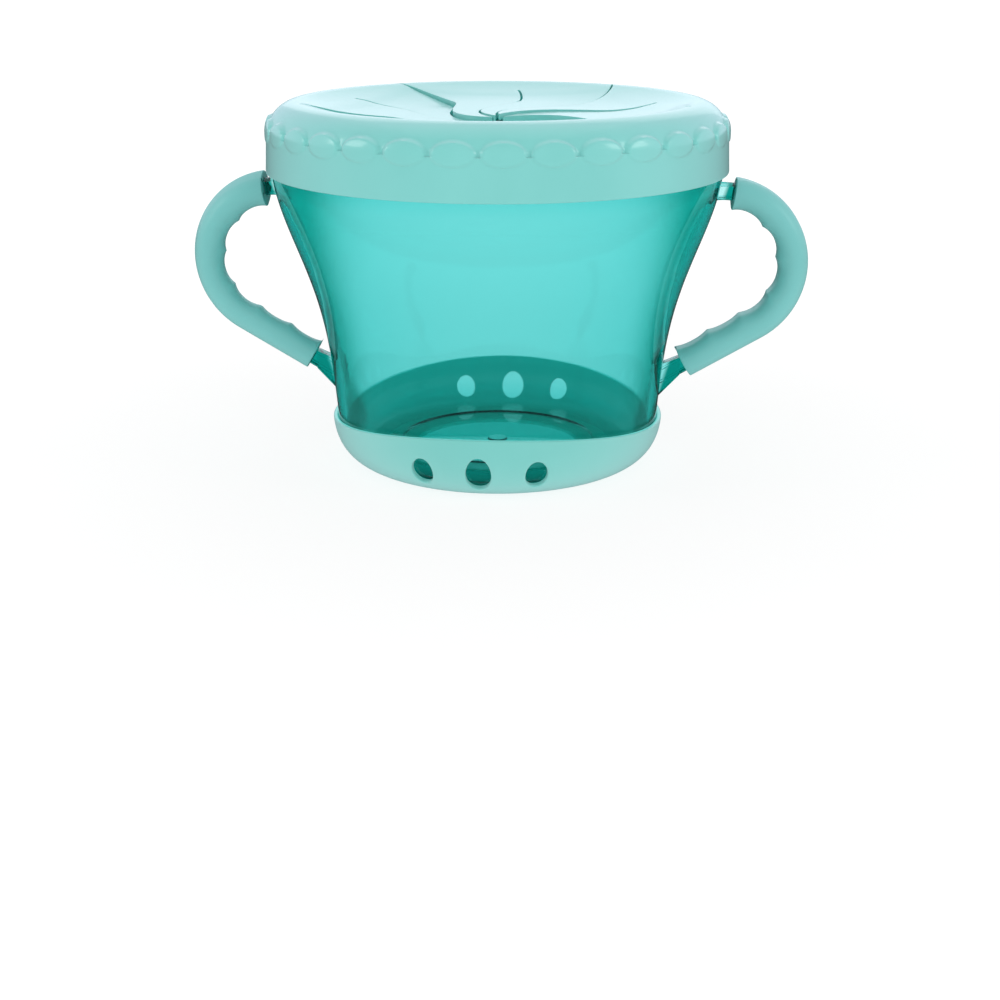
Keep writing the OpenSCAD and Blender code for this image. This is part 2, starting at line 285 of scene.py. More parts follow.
def bevel_sharp(obj: bpy.types.Object, width: float, segments: int,
                where: Callable[[Vector], bool] = lambda point: True) -> None:
    """Rounds the sharp edges of a closed mesh.

    Args:
        obj: the object to round.
        width: size of the rounding.
        segments: steps across it.
        where: test for an edge's middle point.
    """
    found = select_edges(obj, lambda e: len(e.link_faces) == 2 and e.calc_face_angle(0) > SHARP_ANGLE
                         and where((e.verts[0].co + e.verts[1].co) / 2))
    if found:
        bpy.ops.mesh.bevel(offset=width, segments=segments, affect="EDGES", clamp_overlap=True)
    object_mode()


def shade(obj: bpy.types.Object) -> None:
    """Shades an object smooth, apart from its sharp edges."""
    make_active(obj)
    bpy.ops.object.shade_smooth_by_angle(angle=SMOOTH_ANGLE)


def copy_of(obj: bpy.types.Object, name: str, matrix: Matrix) -> bpy.types.Object:
    """Copies a finished piece with a mesh of its own.

    Args:
        obj: the piece to copy.
        name: the copy's name.
        matrix: how the copy's mesh is turned or moved.

    Returns:
        The copy.
    """
    make_active(obj)
    bpy.ops.object.duplicate(linked=False)
    twin = bpy.context.object
    twin.name = twin.data.name = name
    twin.data.transform(matrix)
    if matrix.determinant() < 0:
        close_up(twin)
    return twin


# Finishes

class Graph:
    """A node tree under construction, with short ways to add and join nodes."""

    def __init__(self, tree: bpy.types.NodeTree) -> None:
        """Takes a tree in hand."""
        self.tree = tree

    def feed(self, node: bpy.types.Node, inputs: Feeds) -> None:
        """Sets a node's inputs to plain values, or joins them to output sockets.

        Args:
            node: the node.
            inputs: what each input gets.
        """
        for key, value in inputs.items():
            if isinstance(value, bpy.types.NodeSocket):
                self.tree.links.new(value, node.inputs[key])
            else:
                node.inputs[key].default_value = value

    def add(self, kind: str, inputs: Feeds | None = None, **settings: object) -> bpy.types.Node:
        """Adds a node.

        Args:
            kind: the node's type, without the prefix of shader nodes.
            inputs: what each input gets.
            **settings: the node's properties, set before its inputs.

        Returns:
            The node.
        """
        node = self.tree.nodes.new(kind if kind.startswith("NodeGroup") else f"ShaderNode{kind}")
        for key, value in settings.items():
            setattr(node, key, value)
        self.feed(node, inputs or {})
        return node

    def out(self, kind: str, output: str, inputs: Feeds | None = None,
            **settings: object) -> bpy.types.NodeSocket:
        """Adds a node as add() does, and returns the named output of it."""
        return self.add(kind, inputs, **settings).outputs[output]

    def math(self, operation: str, *values: object, clamp: bool = False) -> bpy.types.NodeSocket:
        """Adds a calculation with numbers or sockets, and returns its result."""
        return self.out("Math", "Value", dict(enumerate(values)), operation=operation, use_clamp=clamp)

    def span(self, value: bpy.types.NodeSocket, source: Pair, target: Pair = (0.0, 1.0),
             smooth: bool = False) -> bpy.types.NodeSocket:
        """Maps a value from one range to another.

        Args:
            value: the value's socket.
            source: the range that it comes from.
            target: the range that it goes to.
            smooth: whether the way is eased.

        Returns:
            The result's socket.
        """
        return self.out("MapRange", "Result", {
            "Value": value, "From Min": source[0], "From Max": source[1], "To Min": target[0],
            "To Max": target[1]}, interpolation_type="SMOOTHSTEP" if smooth else "LINEAR")

    def level(self, share: bpy.types.NodeSocket, a: object, b: object) -> bpy.types.NodeSocket:
        """Mixes two numbers: a where the share is 0, b where it is 1."""
        return self.out("Mix", "Result", {"Factor": share, "A": a, "B": b})

    def colour(self, share: bpy.types.NodeSocket, a: object, b: object) -> bpy.types.NodeSocket:
        """Mixes two colours: a where the share is 0, b where it is 1."""
        return self.out("Mix", "Result", {"Factor": share, "A": a, "B": b}, data_type="RGBA")


def opaque(colour: Triple) -> tuple[float, float, float, float]:
    """A colour with full alpha, as sockets take it."""
    return (*colour, 1.0)


def new_material(name: str) -> tuple[bpy.types.Material, Graph, bpy.types.Node, bpy.types.Node]:
    """Makes a material with nodes.

    Args:
        name: the material's name.

    Returns:
        The material, its graph, its main shader and its output.
    """
    material = bpy.data.materials.new(name)
    material.use_nodes = True
    nodes = material.node_tree.nodes
    return material, Graph(material.node_tree), nodes["Principled BSDF"], nodes["Material Output"]


def elastomer_group() -> bpy.types.NodeTree:
    """Skin of a soft moulding: faint clouds of colour, an uneven gloss and a fine grain.

    Returns:
        The node group, with colour, roughness and height outputs.
    """
    group = bpy.data.node_groups.new("Elastomer skin", "ShaderNodeTree")
    for name, kind, value in (
            ("Colour", "Color", (0.5, 0.8, 0.78, 1)), ("Deep colour", "Color", (0.4, 0.7, 0.68, 1)),
            ("Cloud size", "Float", 90.0), ("Grain size", "Float", 2600.0),
            ("Roughness", "Float", 0.35), ("Unevenness", "Float", 0.08)):
        socket = group.interface.new_socket(name, in_out="INPUT", socket_type=f"NodeSocket{kind}")
        socket.default_value = value
    for name, kind in (("Colour", "Color"), ("Roughness", "Float"), ("Height", "Float")):
        group.interface.new_socket(name, in_out="OUTPUT", socket_type=f"NodeSocket{kind}")
    graph = Graph(group)
    asked = graph.add("NodeGroupInput").outputs
    place = graph.out("TexCoord", "Object")
    clouds, grain = (graph.out("TexNoise", "Fac", {"Vector": place, "Scale": asked[size], "Detail": detail})
                     for size, detail in (("Cloud size", 3), ("Grain size", 2)))
    graph.add("NodeGroupOutput", {
        "Colour": graph.colour(graph.span(clouds, (0.35, 0.65)), asked["Deep colour"], asked["Colour"]),
        "Roughness": graph.math("MULTIPLY_ADD", grain, asked["Unevenness"], asked["Roughness"]),
        "Height": grain})
    return group


@dataclass(frozen=True)
class SoftFinish:
    """Finish of a soft elastomer moulding, with painted rim light towards its edges."""

    name: str
    colour: Triple
    deep_colour: Triple
    rim_light_colour: Triple
    roughness: float
    coat: float
    grain_depth: float = 0.00002
    grain_strength: float = 0.3
    cloud_size: float = 60.0
    coat_roughness: float = 0.2
    rim_light_blend: float = 0.35
    ior: float = 1.48
    inner_glow: Triple | None = None
    glow_lift: float = 0.02
    glow_range: Pair = (0.005, 0.015)

    def material(self, skin: bpy.types.NodeTree) -> bpy.types.Material:
        """Builds the material.

        Args:
            skin: the elastomer group.

        Returns:
            The material.
        """
        material, graph, shader, _ = new_material(self.name)
        group = graph.add("Group", {"Colour": opaque(self.colour), "Deep colour": opaque(self.deep_colour),
                                    "Cloud size": self.cloud_size, "Roughness": self.roughness},
                          node_tree=skin).outputs
        # painted rim light: the colour turns lighter where the surface turns away from view
        facing = graph.out("LayerWeight", "Facing", {"Blend": self.rim_light_blend})
        graph.feed(shader, {
            "Base Color": graph.colour(facing, group["Colour"], opaque(self.rim_light_colour)),
            "Roughness": group["Roughness"],
            "Normal": graph.out("Bump", "Normal", {
                "Strength": self.grain_strength, "Distance": self.grain_depth, "Height": group["Height"]}),
            "IOR": self.ior, "Coat Weight": self.coat, "Coat Roughness": self.coat_roughness})
        if self.inner_glow is not None:
            # painted glow: the inner side emits light of its own
            graph.feed(shader, {"Emission Color": self.paint_inner_glow(graph), "Emission Strength": 1.0})
        return material

    def paint_inner_glow(self, graph: Graph) -> bpy.types.NodeSocket:
        """Paints a glow on the inner side, an emission in place of the light that comes through the soft wall.

        Args:
            graph: the material's graph.

        Returns:
            The colour socket, black on the outer side.
        """
        place = graph.add("TexCoord").outputs
        back = graph.out("VectorMath", "Vector", {0: place["Object"], 1: (-1, -1, 0),
                                                  2: (0, 0, self.glow_lift)}, operation="MULTIPLY_ADD")
        inner = graph.out("VectorMath", "Value", {0: back, 1: place["Normal"]}, operation="DOT_PRODUCT")
        return graph.colour(graph.span(inner, self.glow_range), BLACK, opaque(self.inner_glow))


@dataclass(frozen=True)
class ClearFinish:
    """Finish of the clear, tinted hard moulding."""

    name: str = "clear_teal_plastic"
    ior: float = 1.49
    density: float = 535.0
    passes: Triple = (0.10, 0.835, 0.825)
    mirror_level: float = 0.22
    # colour for the turned-away wall and for the painted shade under the lid
    edge_and_lid_shade_tint: Triple = (0.0, 0.58, 0.5)
    edge_facing: Pair = (0.38, 0.78)
    # painted shade under the lid: the heights over which it grows, and how far it reaches
    shade_height: Pair = (0.048, 0.07)
    shade_reach: float = 0.24
    bar_tint: Triple = (0.002, 0.34, 0.29)
    bar_slope: float = 0.291
    bar_reach: Pair = (0.0338, 0.0348)
    shadow_tint: Triple = (0.3, 0.97, 0.96)
    wave_size: float = 55.0
    wave_depth: float = 0.00006
    wave_strength: float = 0.4
    gloss_range: Pair = (0.01, 0.05)

    def material(self) -> bpy.types.Material:
        """Builds the material: a clear shell with tinted depth, which tints light on its way through."""
        material, graph, shader, output = new_material(self.name)
        place = graph.out("TexCoord", "Object")
        wave = graph.out("TexNoise", "Fac", {"Vector": place, "Scale": self.wave_size})
        graph.feed(shader, {
            "Transmission Weight": 1.0, "IOR": self.ior, "Specular IOR Level": self.mirror_level,
            "Base Color": self.tint(graph, place), "Roughness": graph.span(wave, (0, 1), self.gloss_range),
            "Normal": graph.out("Bump", "Normal", {
                "Strength": self.wave_strength, "Distance": self.wave_depth, "Height": wave})})
        depth = graph.out("VolumeAbsorption", "Volume",
                          {"Color": opaque(self.passes), "Density": self.density})
        through = graph.out("BsdfTransparent", "BSDF", {"Color": opaque(self.shadow_tint)})
        surface = graph.out("MixShader", "Shader", {"Fac": graph.out("LightPath", "Is Shadow Ray"),
                                                    1: shader.outputs["BSDF"], 2: through})
        graph.feed(output, {"Volume": depth, "Surface": surface})
        return material

    def tint(self, graph: Graph, place: bpy.types.NodeSocket) -> bpy.types.NodeSocket:
        """Darkens the clear plastic where it turns away, with painted shade under the lid, and in the solid
        handle bars.

        Args:
            graph: the material's graph.
            place: the socket with the object's coordinates.

        Returns:
            The colour socket.
        """
        axes = graph.add("SeparateXYZ", {"Vector": place}).outputs
        # painted shade: the wall turns darker towards the top, under the lid's skirt
        shade = graph.span(axes["Z"], self.shade_height, (0, self.shade_reach))
        turned = graph.math("ADD", graph.out("LayerWeight", "Facing"), shade)
        beyond = graph.math("MULTIPLY_ADD", axes["Z"], -self.bar_slope, graph.math("ABSOLUTE", axes["X"]))
        wall = graph.colour(graph.span(turned, self.edge_facing, smooth=True), WHITE, opaque(self.edge_and_lid_shade_tint))
        return graph.colour(graph.span(beyond, self.bar_reach), wall, opaque(self.bar_tint))


class Finishes:
    """All finishes of the container, each built once."""

    def __init__(self) -> None:
        """Builds the shared skin and the materials."""
        skin = elastomer_group()
        self.clear = ClearFinish().material()
        # the third colour of each soft skin is its painted rim light
        self.lid = SoftFinish(
            "soft_lid_skin", (0.235, 0.70, 0.66), (0.22, 0.675, 0.635), (0.36, 0.68, 0.67),
            roughness=0.28, coat=0.5, coat_roughness=0.1).material(skin)
        # the boot's inner side gets a painted glow
        self.boot = SoftFinish(
            "soft_boot_skin", (0.205, 0.66, 0.61), (0.19, 0.635, 0.585), (0.50, 0.83, 0.82),
            roughness=0.36, coat=0.25, inner_glow=(0.01, 0.24, 0.21)).material(skin)
        self.grip = SoftFinish(
            "soft_grip_skin", (0.20, 0.60, 0.585), (0.185, 0.575, 0.56), (0.27, 0.62, 0.60),
            roughness=0.42, coat=0.12, grain_depth=0.00003).material(skin)


def dress(obj: bpy.types.Object, material: bpy.types.Material, nodes: Iterable[str]) -> None:
    """Gives a finished piece its material and hides the CAD nodes that it stands for.

    Args:
        obj: the finished piece.
        material: its material.
        nodes: the CAD nodes that it replaces.
    """
    obj.data.materials.clear()
    obj.data.materials.append(material)
    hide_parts(*nodes)
    log.info("%s: %d faces, stands for %s", obj.name, len(obj.data.polygons), ", ".join(nodes))


# The mouldings

@dataclass
class Cup:
    """The clear cup: wall, floor, neck and the two handle bars, as one moulding."""

    height: float = 0.0806
    foot_r: float = 0.0389
    mouth_r: float = 0.0524
    neck_h: float = 0.0108
    taper_share: float = 0.38
    flare_power: float = 1.6
    wall: float = 0.002
    floor_z: float = 0.00405
    ring_r: float = 0.024
    ring_h: float = 0.0005
    ring_w: float = 0.0008
    gate_r: float = 0.0024
    gate_h: float = 0.0004
    neck_step: float = 0.0008
    neck_wall: float = 0.0016
    bead_out: float = 0.00035
    bead_rise: float = 0.0066
    corner_z: float = 0.01315
    base_r: float = 0.02813
    under_z: float = 0.0011
    corner_power: float = 2.43
    rim_round: float = 0.0005
    steps: int = 320
    flare_steps: int = 44

    @property
    def mouth_z(self) -> float:
        """Height of the widest place, just under the lid."""
        return self.height - self.neck_h

    @property
    def neck_r(self) -> float:
        """Outer radius of the neck."""
        return self.mouth_r - self.neck_step

    @property
    def bead_z(self) -> float:
        """Height of the bead round the neck."""
        return self.mouth_z + self.bead_rise

    def outer_r(self, z: float) -> float:
        """Outer radius of the bare wall at a height: a taper and a cosine flare that comes late."""
        u = max(0.0, (z - self.corner_z) / (self.mouth_z - self.corner_z))
        flare = (1 - math.cos(math.pi * u ** self.flare_power)) / 2
        share = self.taper_share * u + (1 - self.taper_share) * flare
        return self.foot_r + (self.mouth_r - self.foot_r) * share

    def corner(self, r0: float, r1: float, z0: float, z1: float, count: int = 24) -> list[Pair]:
        """Squared quarter ellipse from a flat base up into a wall.

        Args:
            r0: radius where the base ends.
            r1: radius of the wall.
            z0: height of the base.
            z1: height where the wall begins.
            count: number of steps.

        Returns:
            The points as (r, z).
        """
        power = 2 / self.corner_power
        angles = [math.pi / 2 * i / count for i in range(count + 1)]
        return [(r0 + (r1 - r0) * math.sin(a) ** power, z1 - (z1 - z0) * max(0.0, math.cos(a)) ** power)
                for a in angles]

    def section(self) -> list[Pair]:
        """Half section of the wall, from the axis underneath round to the axis inside."""
        heights = [self.corner_z + (self.mouth_z - self.corner_z) * i / self.flare_steps
                   for i in range(1, self.flare_steps + 1)]
        neck_in_r = self.neck_r - self.neck_wall
        floor_r = self.base_r - self.wall + self.under_z / 2
        outside = [(0.0, self.under_z), *self.corner(self.base_r, self.foot_r, self.under_z, self.corner_z),
                   *[(self.outer_r(z), z) for z in heights]]
        bead = [(self.neck_r, self.mouth_z + self.neck_step * 0.4),
                (self.neck_r, self.bead_z - 2 * self.bead_out),
                *arc_points((self.neck_r, self.bead_z), self.bead_out, -60, 60, 6),
                (self.neck_r, self.bead_z + 3 * self.bead_out)]
        rim_z = self.height - self.rim_round
        rim = [*arc_points((self.neck_r - self.rim_round, rim_z), self.rim_round, 0, 90, 5),
               *arc_points((neck_in_r + self.rim_round, rim_z), self.rim_round, 90, 180, 5)]
        inside = [(min(self.outer_r(z) - self.wall, neck_in_r), z) for z in reversed(heights)]
        floor = list(reversed(self.corner(floor_r, self.foot_r - self.wall, self.floor_z, self.corner_z)))
        ring = [(self.ring_r + self.ring_w, self.floor_z),
                (self.ring_r + self.ring_w / 2, self.floor_z + self.ring_h),
                (self.ring_r - self.ring_w / 2, self.floor_z + self.ring_h),
                (self.ring_r - self.ring_w, self.floor_z)]
        gate = [(self.gate_r, self.floor_z), (self.gate_r * 0.9, self.floor_z + self.gate_h),
                (0.0, self.floor_z + self.gate_h)]
        return [*outside, *bead, *rim, *inside, *floor, *ring, *gate]

    def build(self, handle: "HandleLine") -> bpy.types.Object:
        """Models the cup and joins its two handle bars to it.

        Args:
            handle: the line that the handle bars follow.

        Returns:
            The finished cup.
        """
        cup = lathe("cup_moulding", self.section(), self.steps)
        right = handle.bar(self)
        left = copy_of(right, "left_bar", Matrix.Scale(-1, 4, Vector((1, 0, 0))))
        for bar in (right, left):
            apply_modifier(cup, "BOOLEAN", object=bar, operation="UNION", solver="EXACT")
            bpy.data.objects.remove(bar)
        shade(cup)
        return cup


@dataclass
class HandleLine:
    """Centre line of a handle in its plane: a bend out of the wall and a straight run back to it."""

    bend_x: float = 0.0528
    bend_z: float = 0.0482
    bend_r: float = 0.0169
    slope: float = 30.5
    bar_r: float = 0.0021
    web: float = 0.0016
    groove_w: float = 0.0025
    foot_above: float = 0.0033
    foot_below: float = 0.0053
    foot_t: float = 0.003
    foot_x: float = 0.044
    foot_inset: float = 0.0002
    foot_steps: int = 8
    probe: float = 0.0001
    start: float = 96.8
    sink: float = 0.001
    steps: int = 72

    @property
    def turn(self) -> float:
        """Angle in degrees below level at which the bend hands over to the run."""
        return 90 - self.slope

    def point(self, along: float, start: float, inward: float, across: float) -> Vector:
        """A point near the centre line.

        Args:
            along: distance along the centre line from the start angle.
            start: the start angle on the bend, in degrees.
            inward: distance towards the fingers.
            across: distance along Y.

        Returns:
            The point in the right handle.
        """
        bend_len = math.radians(start + self.turn) * self.bend_r
        angle = math.radians(start) - min(along, bend_len) / self.bend_r
        spare = max(0.0, along - bend_len)
        r = self.bend_r - inward
        return Vector((self.bend_x + r * math.cos(angle) + spare * math.sin(angle), across,
                       self.bend_z + r * math.sin(angle) - spare * math.cos(angle)))

    def sweep(self, name: str, section: Sequence[Pair], start: float, run: float,
              bend_steps: int, run_steps: int) -> bpy.types.Object:
        """Sweeps a closed section down the bend and the run.

        Args:
            name: the new object's name.
            section: points as (inward, across).
            start: angle in degrees where the sweep starts on the bend.
            run: length of the straight run.
            bend_steps: steps round the bend.
            run_steps: steps down the run.

        Returns:
            The open tube.
        """
        loop = [self.point(0, start, u, v) for u, v in section]
        tube = draw_line(name, loop, closed=True)
        centre = Vector((self.bend_x, 0, self.bend_z))
        spin(tube, bend_steps, -(start + self.turn), centre, Y_AXIS)
        a = math.radians(-self.turn)
        step = Vector((math.sin(a), 0, -math.cos(a))) * run / run_steps
        for _ in range(run_steps):
            extrude(step)
        object_mode()
        return tube

    def bar_section(self) -> list[Pair]:
        """Section of the bar: a round with a groove down each side."""
        half, depth = self.groove_w / 2, self.web / 2
        lip = math.degrees(math.asin(half / self.bar_r))
        sides = []
        for side in (1, -1):
            cap = arc_points((0, 0), self.bar_r, lip - 90, 90 - lip, 10)
            sides += [(side * u, side * v) for u, v in cap]
            sides += [(side * half, side * depth), (-side * half, side * depth)]
        return sides

    def bar(self, cup: Cup) -> bpy.types.Object:
        """Models the right handle's bar with its foot.

        Args:
            cup: the cup whose wall the bar runs into.

        Returns:
            The closed bar.
        """
        end = self.point(0, -self.turn, 0, 0)
        rise = math.tan(math.radians(self.slope))
        wall_x = end.x
        while cup.outer_r(end.z - (end.x - wall_x) * rise) - self.sink < wall_x:
            wall_x -= self.probe
        run = (end.x - wall_x) / math.cos(math.radians(self.slope))
        bar = self.sweep("right_bar", self.bar_section(), self.start, run, self.steps, 1)
        edit(bar)
        bpy.ops.mesh.select_mode(type="EDGE")
        bpy.ops.mesh.select_non_manifold(extend=False)
        bpy.ops.mesh.edge_face_add()
        object_mode()
        close_up(bar)
        foot = self.foot(cup, end, rise, wall_x)
        apply_modifier(bar, "BOOLEAN", object=foot, operation="UNION", solver="EXACT")
        bpy.data.objects.remove(foot)
        return bar

    def foot(self, cup: Cup, end: Vector, rise: float, wall_x: float) -> bpy.types.Object:
        """Models the flat foot that widens from the run into the wall.

        Args:
            cup: the cup whose wall it meets.
            end: where the run begins.
            rise: the run's slope as a tangent.
            wall_x: where the bar meets the wall.

        Returns:
            The closed foot.
        """
        half = (self.bar_r - self.foot_inset) / math.cos(math.radians(self.slope))
        out_z = end.z - (end.x - self.foot_x) * rise
        mid_z = end.z - (end.x - wall_x) * rise
        low, high = mid_z - self.foot_below, mid_z + self.foot_above
        wall_side = [low + (high - low) * i / self.foot_steps for i in range(self.foot_steps + 1)]
        outline = [(self.foot_x, out_z + half), (self.foot_x, out_z - half),
                   *[(cup.outer_r(z) - self.sink, z) for z in wall_side]]
        y = -self.foot_t / 2
        foot = draw_line("handle_foot", [Vector((x, y, z)) for x, z in outline], closed=True)
        edit(foot)
        bpy.ops.mesh.select_all(action="SELECT")
        bpy.ops.mesh.edge_face_add()
        extrude((0, self.foot_t, 0))
        object_mode()
        close_up(foot)
        return foot


@dataclass
class GripSleeve:
    """A soft sleeve on a handle bar, bored for it, with finger scallops on its inner side."""

    side: Side
    turn: float = 0.0
    half: float = 0.0037
    swell: float = 0.0024
    inward: float = 0.0004
    bore_r: float = 0.00225
    start: float = 82.0
    end_x: float = 0.045
    fingers: int = 6
    finger_depth: float = 0.0007
    finger_power: float = 2.4
    finger_fade: float = 1.3
    end_round: float = 0.0007
    bore_round: float = 0.00025
    bend_steps: int = 150
    run_steps: int = 40
    around: int = 56

    def tube(self, line: HandleLine, name: str, section: Sequence[Pair], run: float,
             place: Callable[[float, float, float], Vector]) -> bpy.types.Object:
        """Sweeps one skin of the sleeve and moves its vertices to their places.

        Args:
            line: the handle's centre line.
            name: the new object's name.
            section: points as (inward, across).
            run: length of the straight run.
            place: rule from the distance along and the section's point to a place.

        Returns:
            The open tube.
        """
        tube = line.sweep(name, section, self.start, run, self.bend_steps, self.run_steps)
        bend_len = math.radians(self.start + line.turn) * line.bend_r
        lengths = [bend_len * i / self.bend_steps for i in range(self.bend_steps + 1)]
        lengths += [bend_len + run * i / self.run_steps for i in range(1, self.run_steps + 1)]
        for vertex in tube.data.vertices:
            station, which = divmod(vertex.index, len(section))
            vertex.co = place(lengths[station], *section[which])
        tube.data.update()
        return tube

    def build(self, line: HandleLine) -> bpy.types.Object:
        """Models the sleeve.

        Args:
            line: the handle's centre line.

        Returns:
            The finished sleeve.
        """
        run = (line.point(0, -line.turn, 0, 0).x - self.end_x) / math.cos(math.radians(line.slope))
        bend_len = math.radians(self.start + line.turn) * line.bend_r
        inner_len = math.radians(self.start + line.turn) * (line.bend_r - self.inward - self.half)
        pitch = (inner_len + run) / self.fingers
        angle = math.radians(self.turn)
        round_part = [2 * math.pi * i / self.around for i in range(self.around)]
        outside = [(self.half * math.cos(a),
                    self.half * math.sin(a) + math.copysign(self.swell / 2, math.sin(a)))
                   for a in round_part]
        bore = [(self.bore_r * math.cos(a), self.bore_r * math.sin(a)) for a in round_part]

        def skin(along: float, u: float, v: float) -> Vector:
            """Place on the outside: pressed in by the scallops and turned on the bar."""
            inner = inner_len * along / bend_len if along < bend_len else inner_len + along - bend_len
            off = (inner / pitch) % 1 * 2 - 1
            dent = self.finger_depth * (1 - abs(off) ** self.finger_power)
            dent *= max(0.0, u / self.half) ** self.finger_fade
            u += self.inward - dent
            turned = (u * math.cos(angle) - v * math.sin(angle), u * math.sin(angle) + v * math.cos(angle))
            return line.point(along, self.start, *turned)

        sleeve = self.tube(line, f"{self.side.name.lower()}_grip_sleeve", outside, run, skin)
        inside = self.tube(line, "bore", bore, run, lambda along, u, v: line.point(along, self.start, u, v))
        count, total = self.around, len(sleeve.data.vertices)
        deselect_all()
        inside.select_set(True)
        sleeve.select_set(True)
        bpy.context.view_layer.objects.active = sleeve
        bpy.ops.object.join()
        for first in (0, total - count):
            ring = set(range(first, first + count)) | set(range(total + first, total + first + count))
            select_edges(sleeve, lambda e: e.is_boundary and all(v.index in ring for v in e.verts))
            bpy.ops.mesh.bridge_edge_loops()
            object_mode()
        close_up(sleeve)
        ends = [line.point(0, self.start, 0, 0), line.point(bend_len + run, self.start, 0, 0)]

        def off_end(point: Vector) -> float:
            """Distance from the bar's line at the nearer end."""
            return min((point - end).length for end in ends)

        bevel_sharp(sleeve, self.end_round, 4, lambda p: off_end(p) > self.bore_r * 1.2)
        bevel_sharp(sleeve, self.bore_round, 2, lambda p: off_end(p) < self.bore_r * 1.1)
        if self.side is Side.LEFT:
            sleeve.data.transform(Matrix.Scale(-1, 4, Vector((1, 0, 0))))
            close_up(sleeve)
        shade(sleeve)
        return sleeve


@dataclass
class BaseBoot:
    """The soft non-slip boot with its oval windows and its dipping lip."""

    cup: Cup
    wall: float = 0.0011
    fit: float = 0.00005
    lip_z: float = 0.01535
    lip_dip: float = 0.0043
    hole_r: float = 0.020
    turn: float = -2.1
    window_z: float = 0.0066
    window_pitch: float = 19.5
    middle_size: Pair = (0.0059, 0.0092)
    side_size: Pair = (0.0052, 0.0074)
    columns: int = 360
    rows: int = 44
    margin: float = 0.0012
    lip_share: float = 0.72
    deep_level: float = 0.5
    edge_round: float = 0.00028

    def __post_init__(self) -> None:
        """Measures the outside's half section along its length."""
        self.outer_r = self.cup.foot_r + self.fit + self.wall
        top = [(self.outer_r, self.cup.corner_z + i * 0.0002) for i in range(1, 14)]
        corner = self.cup.corner(self.cup.base_r, self.outer_r, 0, self.cup.corner_z, 160)
        section = [(self.hole_r, 0.0), *corner, *top]
        self.table = [(0.0, *section[0])]
        for before, point in zip(section, section[1:]):
            self.table.append((self.table[-1][0] + math.dist(before, point), *point))

    def at(self, length: float) -> Pair:
        """The outside's (r, z) at a length along its half section."""
        for (s0, r0, z0), (s1, r1, z1) in zip(self.table, self.table[1:]):
            if length <= s1:
                share = (length - s0) / (s1 - s0)
                return r0 + (r1 - r0) * share, z0 + (z1 - z0) * share
        return self.table[-1][1:]

    def length_at(self, z: float) -> float:
        """Length along the half section where the outside reaches a height."""
        for (s0, _, z0), (s1, _, z1) in zip(self.table, self.table[1:]):
            if z0 <= z <= z1 and z1 > z0:
                return s0 + (s1 - s0) * (z - z0) / (z1 - z0)
        return self.table[-1][0]

    def lip_at(self, angle: float) -> float:
        """Height of the lip in a direction, in radians: an arc that dips towards the handles."""
        arc_r = (self.outer_r ** 2 + self.lip_dip ** 2) / (2 * self.lip_dip)
        x = self.outer_r * math.cos(angle)
        return self.lip_z - arc_r + math.sqrt(arc_r ** 2 - x ** 2)

    def windows(self) -> list[Triple]:
        """Direction in radians, width and length of each window, three in front and three behind."""
        found = []
        for face in (-90, 90):
            for k in (-1, 0, 1):
                size = self.side_size if k else self.middle_size
                found.append((math.radians(face + k * self.window_pitch), *size))
        return found

    def cut_window(self, sheet: bpy.types.Object, angle: float, width: float, length: float) -> None:
        """Opens one oval window in the flat sheet, with rings of faces round it.

        Args:
            sheet: the flat sheet, X as the direction and Y as the length along the section.
            angle: the window's direction.
            width: its width.
            length: its length.
        """
        middle = self.length_at(self.window_z)
        r, _ = self.at(middle)
        half_w, half_l = width / 2 / r, length / 2
        wide, tall = half_w + self.margin / r, half_l + self.margin
        edit(sheet, "FACE")
        mesh = bmesh.from_edit_mesh(sheet.data)
        for face in mesh.faces:
            spot = face.calc_center_median()
            face.select_set(abs(spot.x - angle) < wide and abs(spot.y - middle) < tall)
        hole = {e for f in mesh.faces if f.select for e in f.edges if any(not g.select for g in e.link_faces)}
        spots = {tuple(round(c, 7) for c in (e.verts[0].co + e.verts[1].co) / 2) for e in hole}
        bmesh.update_edit_mesh(sheet.data)
        bpy.ops.mesh.delete(type="FACE")
        for share in (0.5, 1.0):
            bpy.ops.mesh.select_mode(type="EDGE")
            mesh = bmesh.from_edit_mesh(sheet.data)
            if share == 0.5:
                for edge in mesh.edges:
                    spot = tuple(round(c, 7) for c in (edge.verts[0].co + edge.verts[1].co) / 2)
                    edge.select_set(edge.is_boundary and spot in spots)
                bmesh.update_edit_mesh(sheet.data)
            extrude((0, 0, 0))
            mesh = bmesh.from_edit_mesh(sheet.data)
            for vertex in (v for v in mesh.verts if v.select):
                x, y = vertex.co.x - angle, vertex.co.y - middle
                a = math.atan2(y / half_l, x / half_w)
                rim = Vector((angle + half_w * math.cos(a), middle + half_l * math.sin(a), 0))
                vertex.co = vertex.co.lerp(rim, share)
            bmesh.update_edit_mesh(sheet.data)
        object_mode()

    def hug(self, point: Vector) -> Vector:
        """Keeps the boot's inner side just outside the cup."""
        cup, r = self.cup, math.hypot(point.x, point.y)
        if r < 1e-6:
            return point
        if point.z >= cup.corner_z:
            least = cup.outer_r(point.z) + self.fit
            scale = max(1.0, least / r)
            return Vector((point.x * scale, point.y * scale, point.z))
        if r <= cup.base_r:
            return Vector((point.x, point.y, min(point.z, cup.under_z)))
        across = (r - cup.base_r) / (cup.foot_r - cup.base_r)
        down = (cup.corner_z - point.z) / (cup.corner_z - cup.under_z)
        level = (across ** cup.corner_power + down ** cup.corner_power) ** (1 / cup.corner_power)
        grow = 1 / level if self.deep_level <= level < 1 else 1.0
        new_r = cup.base_r + (r - cup.base_r) * grow + (self.fit if grow > 1 else 0)
        new_z = cup.corner_z - (cup.corner_z - point.z) * grow
        return Vector((point.x * new_r / r, point.y * new_r / r, new_z))

